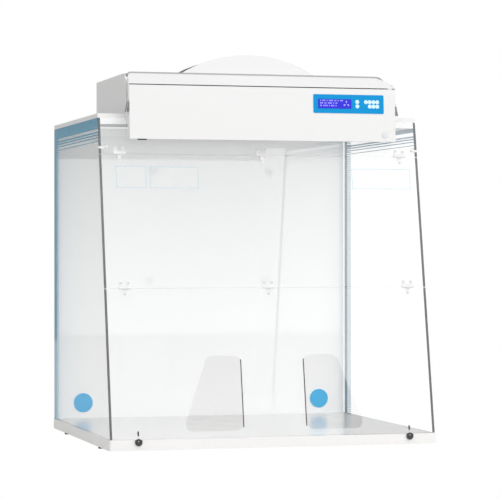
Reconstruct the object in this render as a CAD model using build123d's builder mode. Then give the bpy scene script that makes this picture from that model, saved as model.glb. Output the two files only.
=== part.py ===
from build123d import *

import os
from math import atan2, cos, pi, radians, sin, sqrt, tan

os.makedirs("parts", exist_ok=True)

# A bench fume hood with no duct: a clear cabinet on a tray, a filter housing on its roof,
# a swinging control cover and a front of three clear panels hinged to each other.
# Millimetres. X runs across, Y from front to back, Z up. The origin is under the middle of the
# hood, on the plane of the feet, and the front looks towards -Y.

# Base tray and feet
width = 1200.0
depth = 1056.0
base_height = 37.0
base_sheet = 2.0
base_corner = 6.0
base_return = 32.0
foot_height = 8.0
foot_radius = 11.0
foot_inset = 15.0
foot_spacing = 630.0

# Fits
gap = 0.3
running = 0.05

# Clear side and back panels
panel_inset = 3.0
side_thickness = 8.0
side_height = 1129.0
back_thickness = 8.0

# The slanted front: setback of the side panels' front edge at the floor and at the top
floor_setback = 12.0
top_setback = 221.0
door_thickness = 6.0
seal_thickness = 3.0
lower_door_length = 532.0
middle_door_length = 484.0
visor_length = 130.0
seam_gap = 3.0
door_corner = 4.0

# Arm ports in the lower panel, measured from the middle and from the panel's foot
port_inner_x = 117.0
port_foot_x = 337.0
port_head_x = 238.0
port_foot = 23.0
port_height = 266.0
port_corner = 26.0

# Roof tray
roof_rise = 16.0
roof_height = 38.0
sheet = 2.0

# Filter housing on the roof
housing_half = 488.0
housing_height = 149.0
housing_back_inset = 291.0

# Slanted frame round the housing's open front
frame_half = 496.5
frame_depth = 24.0
frame_below_roof = 38.0
frame_side = 12.0
frame_sill = 46.0
frame_head = 14.0

# Control cover and the sloped cap above it
cover_half = 496.2
cover_height = 192.0
cover_lean = 3.3
cover_foot_setback = 144.0
cover_foot_height = 1053.0
cover_flange_height = 153.0
cover_to_frame = 3.0
cap_depth = 126.0
cap_rise = 46.0
cap_flange = 30.0
cap_ridge_half = 475.0
cap_corner = 20.0
cheek_width = 42.0
cheek_boss = 8.0
trim_width = 4.0
trim_height = 4.5
pivot_behind_face = 8.7
pivot_above_foot = 139.0
ear_arm = 36.0
ear_width = 14.0
ear_spread = 11.0
ear_thickness = 2.0
pivot_shank = 3.0
pivot_head = 5.5

# Hinges at the two seams: two ears up and one ear down, three hinges to a seam
hinge_spacing = 525.0
hinge_length = 44.0
hinge_leaf = 2.4
bar_height = 5.0
hinge_barrel = 4.2
hinge_pin = 1.5
hinge_axis_out = 5.0
ear_spacing = 28.0
hinge_ear = 12.0
ear_up = 26.0
ear_down = 28.0
screw_shank = 2.0

# Keypad, display and keys on the cover, measured from the middle and from the cover's foot
keypad_x = 318.0
keypad_h = 136.0
keypad_width = 268.0
keypad_height = 68.0
keypad_thickness = 1.5
keypad_corner = 4.0
display_x = 265.0
display_width = 126.0
display_height = 34.0
display_proud = 1.0
key_radius = 6.4
key_flange = 6.9
key_flange_thickness = 0.8
key_proud = 0.9
key_travel = 0.6
key_column_x = 351.0
key_row_x = 384.0
key_pitch = 14.5
key_upper_h = 144.0
key_lower_h = 128.0
board_depth = 20.0

# Cam lock near the cover's lower corner
lock_x = 456.0
lock_h = 26.0
lock_radius = 8.0
lock_bezel = 11.0
lock_bezel_height = 2.0
cam_behind_face = 19.0
cam_thickness = 3.0
cam_length = 36.0
cam_width = 14.0
strike_lip = 16.0

# Bumpers and pull tab of the cover
bumper_height = 40.0
bumper_width = 14.0
bumper_above_foot = 14.0
pull_x = -450.0
pull_width = 31.0
pull_depth = 14.0
pull_drop = 4.0

# Arched exhaust outlet on the housing
vault_radius = 489.0
vault_rise = 83.0
vault_setback = 142.0
vault_length = 180.0
vault_plate = 3.0
grille_sheet = 2.0
grille_inset = 1.5
slot_width = 6.0
slot_pitch_angle = 1.7
slot_reach_angle = 26.0
slot_rows = 2
slot_bridge = 10.0

# Filters, lamp and fan
intake_setback = 26.0
filter_wall = 4.0
filter_lip = 6.0
prefilter_height = 18.0
pleats = 30
pleat_cloth = 2.0
filter_height = 70.0
filter_inset = 8.0
lamp_half = 560.0
lamp_width = 50.0
lamp_height = 16.0
lamp_behind_intake = 50.0
fan_radius = 130.0
fan_inlet = 92.0
fan_height = 40.0
fan_lift = 5.0
hub_radius = 14.0
blade_inner = 96.0
blade_outer = 127.0
blade_sweep = 30.0
fan_blades = 7
fan_sheet = 1.5
motor_radius = 38.0
motor_height = 22.0
bracket_width = 60.0
bracket_thickness = 4.0
bracket_overlap = 9.0
shaft_radius = 6.0

# Power inlet on the housing's back
inlet_x = -380.0
inlet_width = 50.0
inlet_height = 30.0
inlet_proud = 14.0
inlet_above_roof = 40.0

# Plugs in the back panel, catches on the base and clips at the visor's lower corners
plug_x = 484.0
plug_above_floor = 60.0
plug_radius = 37.5
plug_body = 30.0
plug_flange = 4.0
plug_past_panel = 3.0
catch_x = 498.0
catch_width = 25.0
catch_height = 21.0
catch_thickness = 5.0
catch_pivot_drop = 4.5
keeper_width = 5.0
keeper_height = 17.0
keeper_thickness = 3.0
keeper_foot = 11.0
clip_seam_rise = 22.0
clip_front = 30.0
clip_side = 64.0
clip_width = 8.0
clip_thickness = 2.0
clip_lift = 12.0


# Places worked out from the sizes
half_width = width / 2
front_y = (catch_thickness + gap - depth) / 2
back_y = front_y + depth
floor_z = foot_height + base_height
side_outer = half_width - panel_inset
side_inner = side_outer - side_thickness
panel_back_y = back_y - panel_inset
back_inner_y = panel_back_y - back_thickness
panel_top_z = floor_z + side_height
slope = atan2(top_setback - floor_setback, side_height)
foot_y = front_y + floor_setback
roof_top_z = panel_top_z + roof_rise
roof_bottom_z = roof_top_z - roof_height
roof_front_y = front_y + top_setback
door_back = gap + seal_thickness
door_front = door_back + door_thickness
lower_seam = lower_door_length
upper_seam = lower_seam + middle_door_length
visor_top = upper_seam + visor_length
housing_back_y = back_y - housing_back_inset
housing_top_z = roof_top_z + housing_height
frame_back = door_front + gap
frame_front = frame_back + frame_depth
lean = radians(cover_lean)
cover_foot_y = front_y + cover_foot_setback
cover_foot_z = floor_z + cover_foot_height
ridge_z = housing_top_z + gap + sheet
cap_lip_z = ridge_z - cap_rise
cap_lip_y = cover_foot_y + (cap_lip_z - cover_foot_z) * tan(lean)
ridge_y = cap_lip_y + cap_depth
cap_slope = cap_rise / cap_depth
cap_sheet = sheet * sqrt(1 + cap_slope**2)
pivot_z = cover_foot_z + pivot_above_foot * cos(lean)
pivot_y = cover_foot_y + pivot_above_foot * sin(lean) + pivot_behind_face
hinge_axis = door_front + hinge_axis_out
vault_front_y = roof_front_y + vault_setback
vault_back_y = vault_front_y + vault_length
vault_centre_z = housing_top_z + vault_rise - vault_radius
fan_y = (vault_front_y + vault_back_y) / 2
bumper_foot_z = cover_foot_z + bumper_above_foot
inlet_z = roof_top_z + inlet_above_roof

front_plane = Plane(
    origin=(0, foot_y, floor_z), x_dir=(1, 0, 0), z_dir=(0, -cos(slope), sin(slope))
)
cover_plane = Plane(
    origin=(0, cover_foot_y, cover_foot_z), x_dir=(1, 0, 0), z_dir=(0, -cos(lean), sin(lean))
)


def across(x):
    """The upright plane across X, with local coordinates (y, z)."""
    return Plane.YZ.offset(x)


def slant_section(x):
    """The plane across X whose local coordinates are (up the front's slope, out of it)."""
    return Plane(
        origin=(x, foot_y, floor_z), x_dir=(0, sin(slope), cos(slope)), z_dir=(1, 0, 0)
    )


def on_slant(up, out):
    """The (y, z) of a point up the front's slope and out of it."""
    return (
        foot_y + up * sin(slope) - out * cos(slope),
        floor_z + up * cos(slope) + out * sin(slope),
    )


def slant_at(z, out):
    """The (y, z) of the point at height z on the plane that lies out from the slope."""
    up = (z - floor_z - out * sin(slope)) / cos(slope)
    return on_slant(up, out)


def face_y(z):
    """The Y of the cover's front face at height z."""
    return cover_foot_y + (z - cover_foot_z) * tan(lean)


def cap_under_z(y):
    """The height of the underside of the cap's sloped sheet."""
    return cap_lip_z + (y - cap_lip_y) * cap_slope - cap_sheet


def up_to_cap(out):
    """How far up the slope the plane that lies out from it meets the cap's underside."""
    level = cap_lip_z - cap_sheet + cap_slope * (foot_y - out * cos(slope) - cap_lip_y)
    return (level - floor_z - out * sin(slope)) / (cos(slope) - cap_slope * sin(slope))


def outline(*points):
    """A face with straight sides."""
    Polygon(*points, align=None)


def save(piece, name):
    piece.part.label = name
    export_step(piece.part, f"parts/{name}.step")


# Base tray: a folded sheet with rounded corners, open below inside a narrow return
with BuildPart() as base_tray:
    with BuildSketch(Plane.XY.offset(foot_height)):
        with Locations((0, (front_y + back_y) / 2)):
            RectangleRounded(width, depth, base_corner)
    extrude(amount=base_height)
    fillet(base_tray.faces().sort_by(Axis.Z)[-1].edges(), radius=base_sheet)
    with BuildSketch(Plane.XY.offset(foot_height)):
        with Locations((0, (front_y + back_y) / 2)):
            RectangleRounded(width - 2 * base_sheet, depth - 2 * base_sheet, base_corner - base_sheet)
    extrude(amount=base_height - base_sheet, mode=Mode.SUBTRACT)
    with BuildSketch(Plane.XY.offset(foot_height)):
        with Locations((0, (front_y + back_y) / 2)):
            RectangleRounded(width, depth, base_corner)
            Rectangle(width - 2 * base_return, depth - 2 * base_return, mode=Mode.SUBTRACT)
    extrude(amount=base_sheet)
    with Locations(*[Plane((x, front_y, floor_z - catch_pivot_drop), z_dir=(0, -1, 0))
                     for x in (-catch_x, catch_x)]):
        Hole(radius=screw_shank, depth=4 * base_sheet)
save(base_tray, "base_tray")

# Feet: four flat rubber discs under the long sides
with BuildPart() as base_feet:
    with BuildSketch(Plane.XY):
        with Locations((0, (front_y + back_y) / 2)):
            with GridLocations(width - 2 * foot_inset, foot_spacing, 2, 2):
                Circle(foot_radius)
    extrude(amount=foot_height)
save(base_feet, "base_feet")

# Side panels: clear sheets with a slanted front edge
for name, side in (("left_side_panel", -1), ("right_side_panel", 1)):
    with BuildPart() as side_panel:
        with BuildSketch(across(side * side_outer)):
            outline(
                (panel_back_y, floor_z),
                on_slant(0, 0),
                slant_at(panel_top_z, 0),
                (panel_back_y, panel_top_z),
            )
        extrude(amount=-side * side_thickness)
    save(side_panel, name)

# Back panel, between the side panels, with a round pass-through near each lower corner
with BuildPart() as back_panel:
    with BuildSketch(Plane.XY.offset(floor_z)):
        with Locations((0, back_inner_y + back_thickness / 2)):
            Rectangle(2 * (side_inner - gap), back_thickness)
    extrude(amount=side_height)
    with Locations(*[Plane((x, back_inner_y, floor_z + plug_above_floor), z_dir=(0, -1, 0))
                     for x in (-plug_x, plug_x)]):
        Hole(radius=plug_body + running, depth=back_thickness)
save(back_panel, "back_panel")

# Plugs: a wide flange inside the chamber, a stem through the panel and a groove behind it
for name, side in (("left_port_plug", -1), ("right_port_plug", 1)):
    with BuildPart() as port_plug:
        with BuildSketch(Plane((side * plug_x, 0, floor_z + plug_above_floor), x_dir=(1, 0, 0), z_dir=(0, 0, 1))):
            outline(
                (0, back_inner_y - plug_flange - gap),
                (plug_radius - 1.5, back_inner_y - plug_flange - gap),
                (plug_radius, back_inner_y - plug_flange - gap + 1.5),
                (plug_radius, back_inner_y - gap),
                (plug_body, back_inner_y - gap),
                (plug_body, panel_back_y + plug_past_panel),
                (0, panel_back_y + plug_past_panel),
            )
        revolve(axis=Axis((side * plug_x, 0, floor_z + plug_above_floor), (0, 1, 0)))
    save(port_plug, name)

# Roof tray: skirts between the panels, a lip on the panels' tops and an opening for the filters
roof_half = side_inner - gap
roof_back_y = back_inner_y - gap
roof_out = door_back - gap
lip_z = panel_top_z + gap
intake_front_y = slant_at(roof_bottom_z, 0)[0] + intake_setback
intake_back_y = housing_back_y - sheet - filter_inset
intake_half = housing_half - sheet - filter_inset
with BuildPart() as roof_tray:
    with BuildSketch(Plane.YZ):
        outline(
            (roof_back_y, roof_bottom_z),
            slant_at(roof_bottom_z, roof_out),
            slant_at(lip_z, roof_out),
            (roof_back_y, lip_z),
        )
    extrude(amount=roof_half, both=True)
    with BuildSketch(Plane.YZ):
        outline(
            (panel_back_y, lip_z),
            slant_at(lip_z, roof_out),
            slant_at(roof_top_z, roof_out),
            (panel_back_y, roof_top_z),
        )
    extrude(amount=side_outer, both=True)
    with BuildSketch(Plane.YZ):
        outline(
            (roof_back_y - sheet, roof_bottom_z - sheet),
            slant_at(roof_bottom_z - sheet, roof_out - sheet),
            slant_at(roof_top_z - sheet, roof_out - sheet),
            (roof_back_y - sheet, roof_top_z - sheet),
        )
    extrude(amount=roof_half - sheet, both=True, mode=Mode.SUBTRACT)
    with BuildSketch(Plane.XY.offset(roof_top_z)):
        with Locations((0, (intake_front_y + intake_back_y) / 2)):
            Rectangle(2 * intake_half, intake_back_y - intake_front_y)
    extrude(amount=-2 * sheet, mode=Mode.SUBTRACT)
save(roof_tray, "roof_tray")


hinge_places = (-hinge_spacing, 0, hinge_spacing)
ear_places = [x + side * ear_spacing / 2 for x in hinge_places for side in (-1, 1)]
clip_up = upper_seam + clip_seam_rise

# The three front panels: the fixed visor, the middle panel and the lower one with its arm ports
for name, low, high in (
    ("upper_visor", upper_seam, visor_top + seam_gap / 2),
    ("middle_panel", lower_seam, upper_seam),
    ("lower_panel", 0, lower_seam),
):
    with BuildPart() as front_panel:
        with BuildSketch(front_plane.offset(door_back)):
            with Locations((0, (low + high) / 2)):
                RectangleRounded(2 * side_outer, high - low - seam_gap, door_corner)
        extrude(amount=door_thickness)
        if name == "lower_panel":
            with BuildSketch(front_plane.offset(door_front)) as ports:
                for side in (-1, 1):
                    outline(
                        (side * port_inner_x, port_foot),
                        (side * port_foot_x, port_foot),
                        (side * port_head_x, port_foot + port_height),
                        (side * port_inner_x, port_foot + port_height),
                    )
                fillet(ports.vertices(), radius=port_corner)
            extrude(amount=-door_thickness, mode=Mode.SUBTRACT)
    save(front_panel, name)

# Edge seals: a pair of strips for each front panel, along the side panels' front edges
for name, low, high in (
    ("visor_seals", upper_seam, visor_top + seam_gap / 2),
    ("middle_panel_seals", lower_seam, upper_seam),
    ("lower_panel_seals", 0, lower_seam),
):
    with BuildPart() as seals:
        with BuildSketch(front_plane.offset(gap)):
            for side in (-1, 1):
                with Locations((side * (side_outer - side_thickness / 2), (low + high) / 2)):
                    Rectangle(side_thickness, high - low - seam_gap)
        extrude(amount=seal_thickness)
    save(seals, name)

middle_knuckle = ear_spacing - hinge_ear - 2 * gap
end_knuckle = middle_knuckle / 2 + gap
outer_spans = [(x - hinge_length / 2, x - end_knuckle) for x in hinge_places]
outer_spans += [(x + end_knuckle, x + hinge_length / 2) for x in hinge_places]
inner_spans = [(x - middle_knuckle / 2, x + middle_knuckle / 2) for x in hinge_places]
bar_length = {1: hinge_length, -1: middle_knuckle}

# Hinge leaves: two ears up from each hinge's pin, and one ear down for the panel below
for name, seam, places, reach, direction, spans in (
    ("upper_hinge_leaves", upper_seam, ear_places, ear_up, 1, outer_spans),
    ("lower_hinge_leaves", lower_seam, ear_places, ear_up, 1, outer_spans),
    ("upper_hinge_flaps", upper_seam, hinge_places, ear_down, -1, inner_spans),
    ("lower_hinge_flaps", lower_seam, hinge_places, ear_down, -1, inner_spans),
):
    with BuildPart() as leaves:
        with BuildSketch(front_plane.offset(door_front)):
            for x in places:
                with Locations((x, seam + direction * (hinge_barrel / 2 + reach - hinge_ear / 2) / 2)):
                    Rectangle(hinge_ear, reach - hinge_ear / 2 - hinge_barrel / 2)
                with Locations((x, seam + direction * (reach - hinge_ear / 2))):
                    Circle(hinge_ear / 2)
            for x in hinge_places:
                with Locations((x, seam + direction * (hinge_barrel + gap + bar_height / 2))):
                    Rectangle(bar_length[direction], bar_height)
            for start, end in spans:
                with Locations(((start + end) / 2, seam + direction * hinge_barrel)):
                    Rectangle(end - start, hinge_barrel)
        extrude(amount=hinge_leaf)
        for start, end in spans:
            with BuildSketch(slant_section(start)):
                with Locations((seam, hinge_axis)):
                    Circle(hinge_barrel)
                with Locations((seam + direction * hinge_barrel / 2, door_front + hinge_axis_out / 2)):
                    Rectangle(hinge_barrel, hinge_axis_out)
            extrude(amount=end - start)
        with BuildSketch(slant_section(-half_width)):
            with Locations((seam, hinge_axis)):
                Circle(hinge_pin + running)
        extrude(amount=width, mode=Mode.SUBTRACT)
    save(leaves, name)

# Hinge pins, one for each hinge of a seam
for name, seam in (("upper_hinge_pins", upper_seam), ("lower_hinge_pins", lower_seam)):
    with BuildPart() as pins:
        for x in hinge_places:
            with BuildSketch(slant_section(x - hinge_length / 2)):
                with Locations((seam, hinge_axis)):
                    Circle(hinge_pin)
            extrude(amount=hinge_length)
    save(pins, name)

# Corner clips: a strap on the visor's face, bent round the corner along the side panel
with BuildPart() as corner_clips:
    for side in (-1, 1):
        clip_outer = side_outer + clip_thickness
        with BuildSketch(front_plane.offset(door_front)):
            with Locations((side * (clip_outer - clip_front / 2), clip_up)):
                Rectangle(clip_front, clip_width)
        extrude(amount=clip_thickness)
        low_corner = on_slant(clip_up - clip_width / 2, door_front + clip_thickness)
        high_corner = on_slant(clip_up + clip_width / 2, door_front + clip_thickness)
        with BuildSketch(across(side * side_outer)):
            outline(
                low_corner,
                high_corner,
                (high_corner[0] + clip_side, high_corner[1] + clip_lift),
                (low_corner[0] + clip_side, low_corner[1] + clip_lift + clip_width / 2),
            )
        extrude(amount=side * clip_thickness)
save(corner_clips, "corner_clips")

# Filter housing: a sheet box, open below and at its slanted front, with an outlet in its top
outlet_half = (vault_radius - grille_sheet) * sin(radians(27))
outlet_front_y = vault_front_y + vault_plate
outlet_back_y = vault_back_y - vault_plate
with BuildPart() as filter_housing:
    with BuildSketch(Plane.YZ):
        outline(
            (housing_back_y, roof_top_z),
            slant_at(roof_top_z, frame_back),
            on_slant(up_to_cap(frame_back) - gap, frame_back),
            (ridge_y, cap_under_z(ridge_y) - gap),
            (ridge_y, housing_top_z),
            (housing_back_y, housing_top_z),
        )
    extrude(amount=housing_half, both=True)
    with BuildSketch(Plane.YZ):
        outline(
            (housing_back_y - sheet, roof_top_z - sheet),
            slant_at(roof_top_z - sheet, frame_front),
            slant_at(ridge_z, frame_front),
            (ridge_y, ridge_z),
            (ridge_y, housing_top_z - sheet),
            (housing_back_y - sheet, housing_top_z - sheet),
        )
    extrude(amount=housing_half - sheet, both=True, mode=Mode.SUBTRACT)
    with BuildSketch(Plane.XY.offset(housing_top_z)):
        with Locations((0, (outlet_front_y + outlet_back_y) / 2)):
            Rectangle(2 * outlet_half, outlet_back_y - outlet_front_y)
    extrude(amount=-2 * sheet, mode=Mode.SUBTRACT)
save(filter_housing, "filter_housing")

# Front frame: a slanted collar round the housing's open front, down over the visor's top
frame_foot = (roof_bottom_z - floor_z - frame_back * sin(slope)) / cos(slope)
with BuildPart() as front_frame:
    with BuildSketch(Plane.YZ):
        outline(
            on_slant(frame_foot, frame_back),
            on_slant(frame_foot, frame_front),
            on_slant(up_to_cap(frame_front) - gap, frame_front),
            on_slant(up_to_cap(frame_back) - gap, frame_back),
        )
    extrude(amount=frame_half, both=True)
    frame_open_foot = frame_foot + frame_sill
    frame_open_head = up_to_cap(frame_front) - gap - frame_head
    with BuildSketch(front_plane.offset(frame_front)):
        with Locations((0, (frame_open_foot + frame_open_head) / 2)):
            Rectangle(2 * (frame_half - frame_side), frame_open_head - frame_open_foot)
    extrude(amount=-frame_depth, mode=Mode.SUBTRACT)
save(front_frame, "front_frame")


# Sloped cap over the control cover, with a flange on the housing and a cheek at each end
with BuildPart() as top_cap:
    with BuildSketch(Plane.YZ):
        outline(
            (cap_lip_y, cap_lip_z),
            (cap_lip_y, cap_lip_z - cap_sheet),
            (ridge_y, ridge_z - cap_sheet),
            (ridge_y, ridge_z),
        )
    extrude(amount=frame_half + sheet, both=True)
    with BuildSketch(Plane.XY.offset(cap_lip_z - cap_rise)) as cap_outline:
        outline(
            (-frame_half - sheet, cap_lip_y),
            (frame_half + sheet, cap_lip_y),
            (cap_ridge_half, ridge_y),
            (-cap_ridge_half, ridge_y),
        )
        fillet(cap_outline.vertices().group_by(Axis.Y)[-1], radius=cap_corner)
    extrude(amount=3 * cap_rise, mode=Mode.INTERSECT)
    with BuildSketch(Plane.XY.offset(ridge_z)):
        with Locations((0, ridge_y + cap_flange / 2)):
            Rectangle(2 * (cap_ridge_half - cap_corner), cap_flange)
    extrude(amount=-sheet)
    for side in (-1, 1):
        with BuildSketch(across(side * frame_half)):
            outline(
                (cap_lip_y, cap_lip_z),
                (cap_lip_y + cheek_width, cap_lip_z + cap_slope * cheek_width),
                (pivot_y + cheek_boss, pivot_z),
                (pivot_y + cheek_boss / 2, pivot_z - cheek_boss),
                (pivot_y - cheek_boss / 2, pivot_z - cheek_boss),
                (pivot_y - cheek_boss, pivot_z),
            )
        extrude(amount=side * sheet)
    with Locations(*[Plane((side * (frame_half + sheet), pivot_y, pivot_z), z_dir=(side, 0, 0))
                     for side in (-1, 1)]):
        Hole(radius=pivot_shank + running, depth=2 * sheet)
save(top_cap, "top_cap")

# Trim that stands along the cap's ridge and round its corners
with BuildPart() as ridge_trim:
    trim_front_y = ridge_y - cap_corner - trim_width
    trim_front_z = ridge_z - cap_slope * (cap_corner + trim_width)
    with BuildSketch(Plane.YZ):
        outline(
            (trim_front_y, trim_front_z),
            (ridge_y, ridge_z),
            (ridge_y, ridge_z + trim_height),
            (trim_front_y, trim_front_z + trim_height),
        )
    extrude(amount=frame_half, both=True)
    with BuildSketch(Plane.XY.offset(cap_lip_z)) as trim_outline:
        outline(
            (-frame_half - sheet, cap_lip_y),
            (frame_half + sheet, cap_lip_y),
            (cap_ridge_half, ridge_y),
            (-cap_ridge_half, ridge_y),
        )
        fillet(trim_outline.vertices().group_by(Axis.Y)[-1], radius=cap_corner)
        offset(amount=-trim_width, mode=Mode.SUBTRACT)
    extrude(amount=2 * cap_rise, mode=Mode.INTERSECT)
save(ridge_trim, "ridge_trim")

# Pivot ears: a folded strip beside each cheek, one leg upright and one spread outwards
ear_root = frame_half + sheet + gap
with BuildPart() as pivot_ears:
    for side in (-1, 1):
        ear_plane = Plane(
            origin=(side * ear_root, pivot_y, pivot_z - cheek_boss), x_dir=(side, 0, 0), z_dir=(0, side, 0)
        )
        with BuildSketch(ear_plane):
            Polygon(
                (0, 0),
                (ear_thickness * 2, 0),
                (ear_spread, ear_arm),
                (ear_spread - ear_thickness, ear_arm),
                (ear_thickness, cheek_boss * 2),
                (ear_thickness, ear_arm),
                (0, ear_arm),
                align=None,
            )
        extrude(amount=ear_width / 2, both=True)
    with Locations(*[Plane((side * (ear_root + ear_spread), pivot_y, pivot_z), z_dir=(side, 0, 0))
                     for side in (-1, 1)]):
        Hole(radius=pivot_shank + running, depth=2 * ear_spread)
save(pivot_ears, "pivot_ears")

# Control cover: a folded sheet that hangs from the pivots, open at its back
cover_top_z = cover_foot_z + cover_height * cos(lean)
flange_out = frame_front + cover_to_frame
flange_front_z = cover_foot_z + (cover_height - 18) * cos(lean)
flange_rear_z = pivot_z - 22
keypad_centre = (keypad_x, keypad_h)
with BuildPart() as control_cover:
    with BuildSketch(cover_plane):
        with Locations((0, cover_height / 2)):
            Rectangle(2 * cover_half, cover_height)
    extrude(amount=-sheet)
    for side in (-1, 1):
        with BuildSketch(across(side * cover_half)):
            outline(
                (cover_foot_y, cover_foot_z),
                slant_at(cover_foot_z, flange_out),
                slant_at(flange_rear_z, flange_out),
                (face_y(flange_front_z) + sheet, flange_front_z),
                (face_y(flange_front_z), flange_front_z),
            )
        extrude(amount=-side * sheet)
    with BuildSketch(Plane.YZ):
        outline(
            (cover_foot_y, cover_foot_z),
            slant_at(cover_foot_z, flange_out),
            slant_at(cover_foot_z + sheet, flange_out),
            (face_y(cover_foot_z + sheet), cover_foot_z + sheet),
        )
    extrude(amount=cover_half, both=True)
    with BuildSketch(cover_plane):
        with Locations(keypad_centre):
            Rectangle(keypad_width - 2 * filter_wall, keypad_height - 2 * filter_wall)
    extrude(amount=-sheet, mode=Mode.SUBTRACT)
    with BuildSketch(cover_plane):
        with Locations((lock_x, lock_h)):
            Circle(lock_radius + running)
    extrude(amount=-2 * sheet, mode=Mode.SUBTRACT)
    with Locations(*[Plane((side * cover_half, pivot_y, pivot_z), z_dir=(side, 0, 0)) for side in (-1, 1)]):
        Hole(radius=pivot_shank + running, depth=2 * sheet)
save(control_cover, "control_cover")

# Turning screws: the cover's two pivots and the catches' two
with BuildPart() as turning_screws:
    for side in (-1, 1):
        with BuildSketch(across(side * (cover_half - sheet - 1))):
            with Locations((pivot_y, pivot_z)):
                Circle(pivot_shank)
        extrude(amount=side * (ear_root + ear_thickness * 2 + 1 - cover_half + sheet))
    catch_screw_z = floor_z - catch_pivot_drop
    with BuildSketch(Plane((0, front_y - gap - catch_thickness + 1, 0), x_dir=(1, 0, 0), z_dir=(0, -1, 0))):
        with Locations((-catch_x, catch_screw_z), (catch_x, catch_screw_z)):
            Circle(screw_shank - running)
    extrude(amount=-(catch_thickness + gap + 2 * base_sheet - 1))
save(turning_screws, "turning_screws")

# Catches: turn buttons, flat above and round below, that swing up in front of the lower panel
for name, side in (("left_catch", -1), ("right_catch", 1)):
    catch_plane = Plane((side * catch_x, front_y - gap, floor_z), x_dir=(1, 0, 0), z_dir=(0, -1, 0))
    with BuildPart() as catch:
        with BuildSketch(catch_plane) as catch_outline:
            with Locations((0, -(catch_height - catch_width / 2) / 2)):
                Rectangle(catch_width, catch_height - catch_width / 2)
            with Locations((0, -(catch_height - catch_width / 2))):
                Circle(catch_width / 2)
        extrude(amount=catch_thickness)
        with Locations(Plane((side * catch_x, front_y - gap - catch_thickness, floor_z - catch_pivot_drop), z_dir=(0, -1, 0))):
            Hole(radius=screw_shank, depth=catch_thickness)
    save(catch, name)

# Panel keepers: small tongues on the lower panel, above the catches
with BuildPart() as panel_keepers:
    with BuildSketch(front_plane.offset(door_front)):
        with Locations((-catch_x, keeper_foot + keeper_height / 2), (catch_x, keeper_foot + keeper_height / 2)):
            RectangleRounded(keeper_width, keeper_height, keeper_width / 2 - 0.4)
    extrude(amount=keeper_thickness)
save(panel_keepers, "panel_keepers")

# Keypad plate on the cover's face, with holes for the keys and a window for the display
key_places = [(key_column_x, key_upper_h), (key_column_x, key_lower_h)]
key_places += [(key_row_x + i * key_pitch, key_upper_h) for i in range(4)]
key_places += [(key_row_x + i * key_pitch, key_lower_h) for i in range(1, 4)]
with BuildPart() as keypad_plate:
    with BuildSketch(cover_plane):
        with Locations(keypad_centre):
            RectangleRounded(keypad_width, keypad_height, keypad_corner)
        with Locations(*key_places):
            Circle(key_radius + running, mode=Mode.SUBTRACT)
        with Locations((display_x, keypad_h)):
            Rectangle(display_width + 2 * gap, display_height + 2 * gap, mode=Mode.SUBTRACT)
    extrude(amount=keypad_thickness)
save(keypad_plate, "keypad_plate")

# Display, seated on the control box behind the cover
with BuildPart() as display_window:
    with BuildSketch(cover_plane.offset(-sheet)):
        with Locations((display_x, keypad_h)):
            Rectangle(display_width, display_height)
    extrude(amount=sheet + keypad_thickness + display_proud)
    chamfer(display_window.faces().sort_by(Axis.Y)[0].edges(), length=0.6)
save(display_window, "display_window")

# Keys: round caps, each kept in by a square flange behind the keypad plate
key_names = ["key_upper_single", "key_lower_single"]
key_names += [f"key_upper_{i}" for i in range(1, 5)]
key_names += [f"key_lower_{i}" for i in range(2, 5)]
for name, place in zip(key_names, key_places):
    with BuildPart() as key:
        with BuildSketch(cover_plane.offset(-running)):
            with Locations(place):
                Rectangle(2 * key_flange, 2 * key_flange)
        extrude(amount=-key_flange_thickness)
        with BuildSketch(cover_plane.offset(-running)):
            with Locations(place):
                Circle(key_radius)
        extrude(amount=running + keypad_thickness + key_proud)
    save(key, name)

# Control box behind the cover
with BuildPart() as control_box:
    with BuildSketch(cover_plane.offset(-sheet)):
        with Locations(keypad_centre):
            Rectangle(keypad_width, keypad_height)
    extrude(amount=-board_depth)
save(control_box, "control_box")

# Cam lock: a three-cornered key head in front, a barrel and an arm behind
with BuildPart() as cam_lock:
    with BuildSketch(cover_plane.offset(gap)):
        with Locations((lock_x, lock_h)):
            Circle(lock_bezel)
    extrude(amount=lock_bezel_height)
    with BuildSketch(cover_plane.offset(gap + lock_bezel_height)):
        with Locations((lock_x, lock_h)):
            RegularPolygon(radius=lock_radius * 0.8, side_count=3, rotation=90)
    extrude(amount=lock_bezel_height)
    with BuildSketch(cover_plane.offset(gap)):
        with Locations((lock_x, lock_h)):
            Circle(lock_radius)
    extrude(amount=-(cam_behind_face + gap))
    with BuildSketch(cover_plane.offset(-cam_behind_face)):
        with Locations((lock_x - cam_length / 2 + lock_bezel, lock_h)):
            SlotOverall(cam_length, cam_width)
    extrude(amount=-cam_thickness)
save(cam_lock, "cam_lock")

# Lock strike: a bracket under the frame's sill, with a lip for the cam to turn up behind
strike_front_y = face_y(cover_foot_z + lock_h) + cam_behind_face - sheet - 1
with BuildPart() as lock_strike:
    strike_foot = roof_bottom_z - gap
    with BuildSketch(across(lock_x)):
        outline(
            (strike_front_y, strike_foot),
            (slant_at(strike_foot, frame_back)[0], strike_foot),
            (slant_at(strike_foot, frame_back)[0] - 1, strike_foot - sheet),
            (strike_front_y + sheet, strike_foot - sheet),
            (strike_front_y + sheet, strike_foot - strike_lip),
            (strike_front_y, strike_foot - strike_lip),
        )
    extrude(amount=cam_width, both=True)
save(lock_strike, "lock_strike")

# Bumpers on the cover's lower ends and the pull tab under its edge
with BuildPart() as cover_bumpers:
    for side in (-1, 1):
        with BuildSketch(across(side * (cover_half - sheet))):
            outline(
                (face_y(bumper_foot_z) + sheet + gap, bumper_foot_z),
                slant_at(bumper_foot_z, frame_front + gap),
                slant_at(bumper_foot_z + bumper_height, frame_front + gap),
                (face_y(bumper_foot_z + bumper_height) + sheet + gap, bumper_foot_z + bumper_height),
            )
        extrude(amount=-side * bumper_width)
save(cover_bumpers, "cover_bumpers")

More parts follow.
